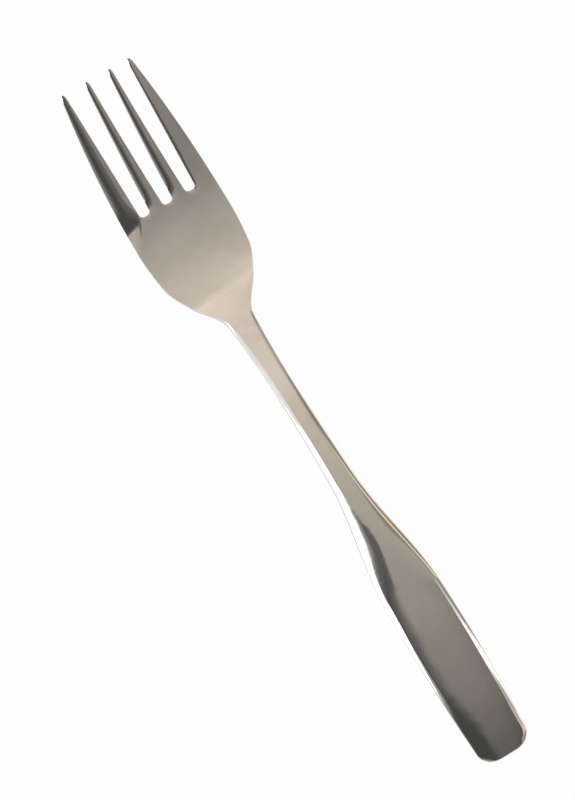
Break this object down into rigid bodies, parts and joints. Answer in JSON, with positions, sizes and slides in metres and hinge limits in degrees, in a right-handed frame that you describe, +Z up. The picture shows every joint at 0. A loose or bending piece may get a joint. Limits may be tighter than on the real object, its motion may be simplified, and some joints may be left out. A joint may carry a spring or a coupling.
{
  "type": "table fork",
  "caption": "Polished stainless steel table fork with a broad squared handle, slim neck, shallow dished bowl and tapering tines, stamped in one piece for eating at table.",
  "frame": {"origin": "on the table, under the middle of the fork's length and width", "axes": "+X from the handle's end to the tips, +Y to the fork's left, +Z up off the table, out of the hollow side"},
  "size_m": [0.187, 0.0254, 0.0121],
  "materials": {
    "steel": "polished, with fine scratches from use"
  },
  "bodies": {
    "root": {"handle": "steel", "neck": "steel", "bowl": "steel", "tine_outer_left": "steel", "tine_inner_left": "steel", "tine_inner_right": "steel", "tine_outer_right": "steel"}
  },
  "joints": []
}
